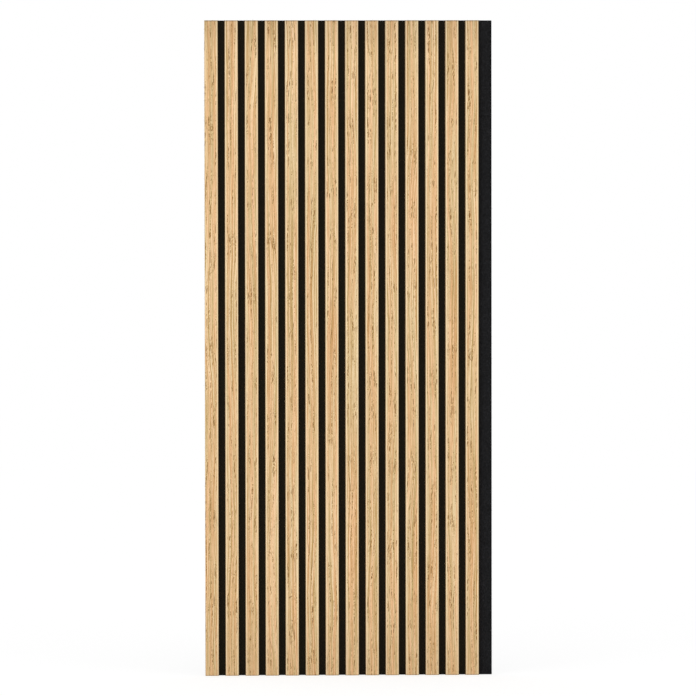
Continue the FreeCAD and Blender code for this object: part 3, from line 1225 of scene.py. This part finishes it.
    def waver(self) -> None:
        """Makes the faces that nothing is glued to slightly uneven, as felt off a roll is."""
        x, y, _ = self.points()
        free = y > -self.back_edge
        for left, right in self.bare:
            free |= (x > left + self.held) & (x < right - self.held)
        group = self.board.vertex_groups.new(name="free")
        group.add(np.flatnonzero(free).tolist(), 1.0, "REPLACE")
        texture = bpy.data.textures.new("felt_unevenness", "CLOUDS")
        texture.noise_scale = self.lumps_m
        uneven = self.board.modifiers.new("unevenness", "DISPLACE")
        uneven.texture = texture
        uneven.texture_coords = "LOCAL"
        uneven.direction = "Y"
        uneven.strength = self.unevenness / METRE
        uneven.mid_level = 0.5
        uneven.vertex_group = group.name
        bpy.ops.object.modifier_apply(modifier="unevenness")
        self.board.vertex_groups.clear()
        bpy.data.textures.remove(texture)

    def edge_roots(self, rng: np.random.Generator) -> tuple[np.ndarray, np.ndarray]:
        """Picks places along the two sides and the top, where the felt was cut.

        Args:
            rng: picks the places.

        Returns:
            The fibres' roots, and the way each one leaves.
        """
        wide, high = self.finish.half_width, self.finish.height
        roots, ways = [], []
        for side, edge in ((-1.0, -wide), (1.0, wide + self.fluff)):
            count = int(high / self.edge_spacing)
            depth = -rng.uniform(self.arris, self.thickness, count)
            up = rng.uniform(self.edge_foot, high, count)
            roots.append(np.stack([np.full(count, edge), depth, up], 1))
            ways.append(np.tile((side, 0.0, 0.0), (count, 1)))
        count = int(2 * wide / self.edge_spacing)
        along = rng.uniform(-wide, wide, count)
        depth = -rng.uniform(self.arris, self.thickness, count)
        roots.append(np.stack([along, depth, np.full(count, high)], 1))
        ways.append(np.tile((0.0, 0.0, 1.0), (count, 1)))
        return np.concatenate(roots), np.concatenate(ways)

    def face_roots(self, rng: np.random.Generator) -> tuple[np.ndarray, np.ndarray]:
        """Picks places on the bare felt in front.

        Args:
            rng: picks the places.

        Returns:
            The fibres' roots, and the way each one leaves.
        """
        roots, ways = [], []
        for left, right in self.bare:
            area = (right - left) * self.finish.height / 10000  # in square decimetres
            count = int(area * self.face_fibres)
            across = rng.uniform(left + self.held, right - self.held, count)
            up = rng.uniform(self.face_foot, self.finish.height - self.face_head, count)
            roots.append(np.stack([across, np.full(count, -self.thickness), up], 1))
            lean = rng.normal(0.0, self.face_lean, (count, 3))
            lean[:, 1] = -1.0
            ways.append(lean)
        return np.concatenate(roots), np.concatenate(ways)


@dataclass
class Panel:
    """The whole panel: the felt board and its slats."""

    pitch: float = 40.0  # from one slat's middle to the next
    first: float = -272.5  # the first slat's middle, from the panel's middle
    count: int = 14  # how many slats there are
    slat_width: float = 27.0  # how wide a slat is
    felt_thickness: float = 9.0  # how thick the felt is

    def build(self) -> None:
        """Builds the felt board, and dresses each slat."""
        low, high = CAD_BOX
        wide, height = high.x * METRE, high.z * METRE
        middles = [self.first + self.pitch * i for i in range(self.count)]
        lefts = [middle + self.slat_width / 2 for middle in middles]
        rights = [middle - self.slat_width / 2 for middle in middles[1:]] + [wide]
        felt = NeedledFelt(wide, height, bare_from=lefts[-1])
        FeltBoard(felt, self.felt_thickness, list(zip(lefts, rights)), middles).build()
        core = FibreBoard().made()
        wire = StapleWire().made()
        for i, middle in enumerate(middles):
            Slat(i + 1, middle, -low.y * METRE, height, core, wire).build()


@dataclass
class Studio:
    """A plain pale floor, soft light and the photograph's camera, all in metres."""

    camera_place: Triple = (-0.3765, -12.0, 1.0283)  # where the camera stands
    look_down: float = 1.783  # how far it looks down, in degrees
    turn: float = 1.8  # how far it is turned to the left, in degrees
    roll: float = -0.07  # how far it is tipped sideways, in degrees
    lens: float = 310.76  # its focal length, in millimetres
    sensor: float = 36.0  # how wide its sensor is, in millimetres
    far: float = 100.0  # how far it sees
    sky: float = 0.74  # how strong the even light from all round is
    # the lamps' names, their places, and their watts
    lamps: tuple[tuple[str, Triple, float], ...] = (
        ("key", (-2.8, -4.6, 0.8), 60.0),
        ("fill", (3.0, -4.4, 0.75), 38.0),
    )
    lamp_size: float = 1.4  # how wide a lamp is
    aim: Triple = (0.0, 0.0, 0.65)  # where the lamps point
    floor_size: float = 16.0  # how wide the floor is
    floor_gap: float = 0.0005  # how far it is below the panel's foot
    paint: float = 0.95  # how pale it is to the light that it throws back on the panel
    shadow: float = 0.3  # how much of the floor's shading shows over its white

    def build(self) -> None:
        """Sets up the world, the floor, the lamps and the camera."""
        self.world()
        self.floor()
        for name, place, power in self.lamps:
            self.lamp(name, place, power)
        self.camera()
        bpy.context.scene.view_settings.view_transform = "Standard"
        LOG.info("studio")

    def world(self) -> None:
        """White to the camera and in reflections, and a plain even light on the panel."""
        r = Recipe(bpy.data.worlds.new("studio"))
        bpy.context.scene.world = r.owner
        light = r.node("Background", {"Strength": self.sky, "Color": WHITE})
        white = r.node("Background", {"Strength": 1.0, "Color": WHITE})
        mix = r.node("MixShader", {0: self.seen(r), 1: light.outputs[0], 2: white.outputs[0]})
        r.node("OutputWorld", {"Surface": mix.outputs[0]})

    def seen(self, r: Recipe) -> Socket:
        """Tells the rays that the camera, gloss or glass sends out from light on a surface.

        Args:
            r: the recipe that asks.

        Returns:
            1 for such a ray and 0 for light on a surface.
        """
        path = r.node("LightPath", {}).outputs
        camera_or_gloss = r.sum_of("MAXIMUM", path["Is Camera Ray"], path["Is Glossy Ray"])
        return r.sum_of("MAXIMUM", camera_or_gloss, path["Is Transmission Ray"])

    def floor(self) -> None:
        """A pale floor that shows white, with the panel's shadow on it."""
        deselect_all()
        place = (0.0, 0.0, -self.floor_gap)
        bpy.ops.mesh.primitive_plane_add(size=self.floor_size, location=place)
        floor = bpy.context.object
        floor.name = "floor"
        r = Recipe(bpy.data.materials.new("floor"))
        seen = self.seen(r)
        paint = r.level(seen, self.paint, self.shadow)
        r.finish(
            Base_Color=r.vector(paint, paint, paint),
            Roughness=1.0,
            Specular_IOR_Level=0.0,
            Emission_Color=WHITE,
            Emission_Strength=r.times(seen, 1.0 - self.shadow * self.sky),
        )
        dress(floor, r.owner)

    def lamp(self, name: str, place: Triple, power: float) -> None:
        """A large soft lamp.

        Args:
            name: the lamp's name.
            place: where it stands, in metres.
            power: in watts.
        """
        data = bpy.data.lights.new(name, "AREA")
        data.size = self.lamp_size
        data.energy = power
        lamp = bpy.data.objects.new(name, data)
        bpy.context.collection.objects.link(lamp)
        lamp.location = place
        way = Vector(self.aim) - Vector(place)
        lamp.rotation_euler = way.to_track_quat("-Z", "Y").to_euler()

    def camera(self) -> None:
        """The camera, at the place and angle that the photograph was taken from."""
        turns = ((self.look_down, "X"), (self.turn, "Z"), (self.roll, "Y"))
        down, turn, roll = (Matrix.Rotation(math.radians(angle), 3, axis) for angle, axis in turns)
        right, ahead, up = down @ turn @ roll
        data = bpy.data.cameras.new("camera")
        data.sensor_width = self.sensor
        data.lens = self.lens
        data.clip_end = self.far
        camera = bpy.data.objects.new("camera", data)
        bpy.context.collection.objects.link(camera)
        camera.location = self.camera_place
        camera.rotation_euler = Matrix((right, up, -ahead)).transposed().to_euler()
        bpy.context.scene.camera = camera


def main() -> None:
    """Builds the panel and the studio."""
    logging.basicConfig(level=logging.INFO, format="%(name)s: %(message)s")
    Panel().build()
    Studio().build()


if __name__ == "__main__":
    main()
